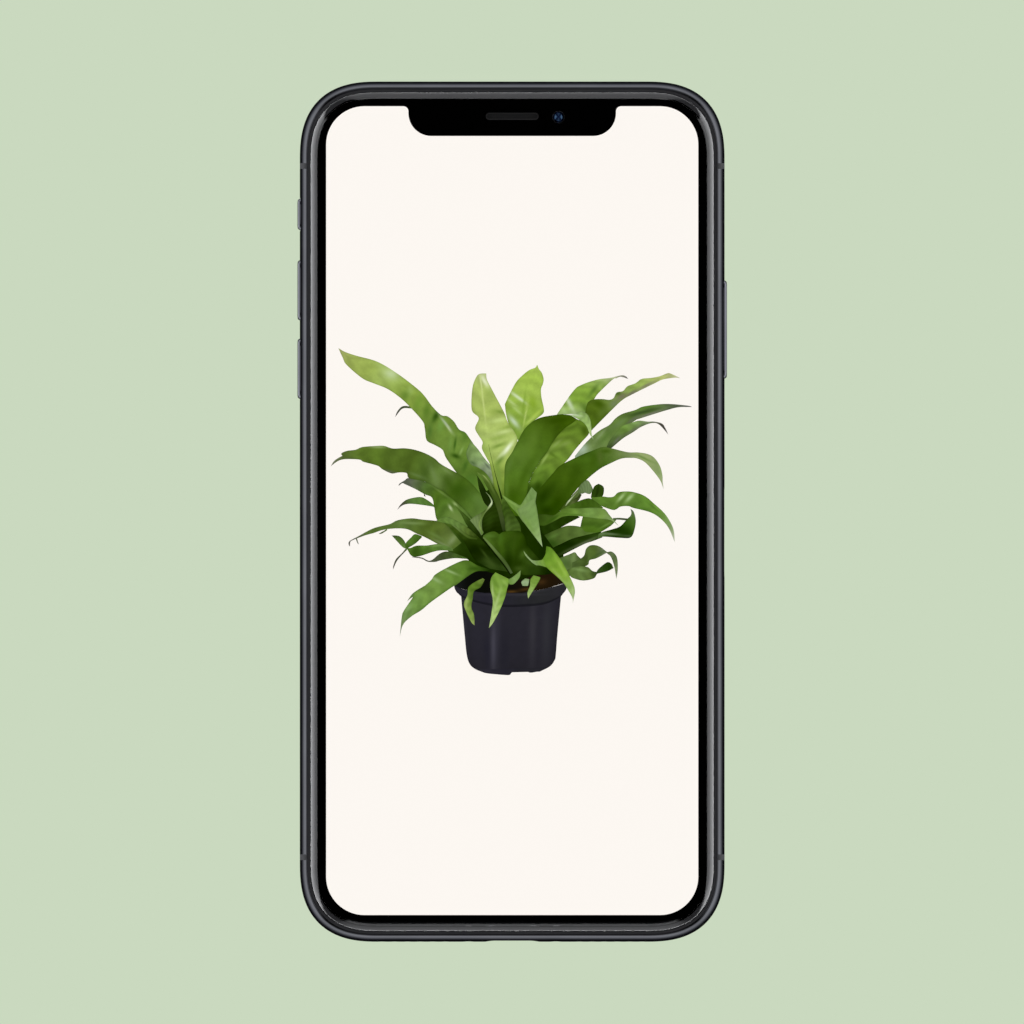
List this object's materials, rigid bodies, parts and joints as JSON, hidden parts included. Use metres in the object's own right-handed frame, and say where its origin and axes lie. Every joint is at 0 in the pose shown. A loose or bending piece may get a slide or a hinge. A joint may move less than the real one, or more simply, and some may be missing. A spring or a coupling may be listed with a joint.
{
  "type": "smartphone",
  "caption": "Notched smartphone with a full-height display, a rounded metal band, glass front and back, side buttons, ring switch, SIM tray, charging port and rear cameras.",
  "frame": {"origin": "middle of the back face that the phone rests on, under the middle of its width and height", "axes": "+X to the side-button edge, +Y to the notch end, +Z out of the display"},
  "size_m": [0.0716, 0.1436, 0.0077],
  "materials": {
    "graphite_metal": "dark polished metal, satin in the band's hollow",
    "antenna_plastic": "moulded, matt",
    "cover_glass": "clear, polished, rounded rim",
    "gasket": "matt black seal",
    "bezel_ink": "opaque black print",
    "display": "lit display, cream ground with a picture of a fern in a dark pot",
    "steel": "bare stamped steel",
    "back_glass": "dark grey backed glass, polished",
    "battery_wrap": "dark foil wrap",
    "circuit_board": "dark green solder mask",
    "black_plastic": "moulded, matt",
    "card_plastic": "pale card",
    "copper": "wound copper",
    "lens_glass": "coated lens glass",
    "flash_diffuser": "pale yellow diffuser"
  },
  "bodies": {
    "body": {"band_top": "graphite_metal", "band_bottom": "graphite_metal", "band_left": "graphite_metal", "band_right": "graphite_metal", "antenna_strip_left_top": "antenna_plastic", "antenna_strip_right_top": "antenna_plastic", "antenna_strip_left_bottom": "antenna_plastic", "antenna_strip_right_bottom": "antenna_plastic", "cover_glass": "cover_glass", "front_gasket": "gasket", "bezel_mask": "bezel_ink", "display_panel": "display", "display_backplate": "steel", "earpiece_mesh": "steel", "earpiece_speaker": "black_plastic", "face_sensor": "black_plastic", "proximity_sensor": "black_plastic", "front_camera": "black_plastic", "front_lens": "lens_glass", "back_glass": "back_glass", "rear_gasket": "gasket", "camera_surround": "graphite_metal", "camera_window": "lens_glass", "rear_camera_upper": "black_plastic", "rear_camera_lower": "black_plastic", "rear_lens_upper": "lens_glass", "rear_lens_lower": "lens_glass", "flash_module": "flash_diffuser", "chassis_plate": "steel", "charging_coil": "copper", "sim_reader": "steel", "side_contact": "black_plastic", "volume_contacts": "black_plastic", "ring_switch_contact": "black_plastic", "charging_port": "steel", "port_tongue": "black_plastic", "case_screw_left": "steel", "case_screw_right": "steel", "microphone_mesh": "steel", "speaker_mesh": "steel", "bottom_microphone": "black_plastic", "loudspeaker": "black_plastic", "haptic_motor": "steel", "battery": "battery_wrap", "logic_board": "circuit_board", "shield_can": "steel"},
    "side_key": {"side_button": "graphite_metal"},
    "volume_up_key": {"volume_up_button": "graphite_metal"},
    "volume_down_key": {"volume_down_button": "graphite_metal"},
    "ring_slider": {"ring_switch": "graphite_metal"},
    "card_tray": {"sim_tray": "graphite_metal", "sim_card": "card_plastic"}
  },
  "joints": [
    {"name": "side_button_press", "type": "slide", "parent": "body", "child": "side_key", "axis": [-1, 0, 0], "range_m": [0, 0.0003], "stiffness_N_per_m": 3000},
    {"name": "volume_up_press", "type": "slide", "parent": "body", "child": "volume_up_key", "axis": [1, 0, 0], "range_m": [0, 0.0003], "stiffness_N_per_m": 3000},
    {"name": "volume_down_press", "type": "slide", "parent": "body", "child": "volume_down_key", "axis": [1, 0, 0], "range_m": [0, 0.0003], "stiffness_N_per_m": 3000},
    {"name": "ring_switch_slide", "type": "slide", "parent": "body", "child": "ring_slider", "axis": [0, 0, -1], "range_m": [0, 0.0012]},
    {"name": "sim_tray_pull", "type": "slide", "parent": "body", "child": "card_tray", "axis": [1, 0, 0], "range_m": [0, 0.0125]}
  ]
}
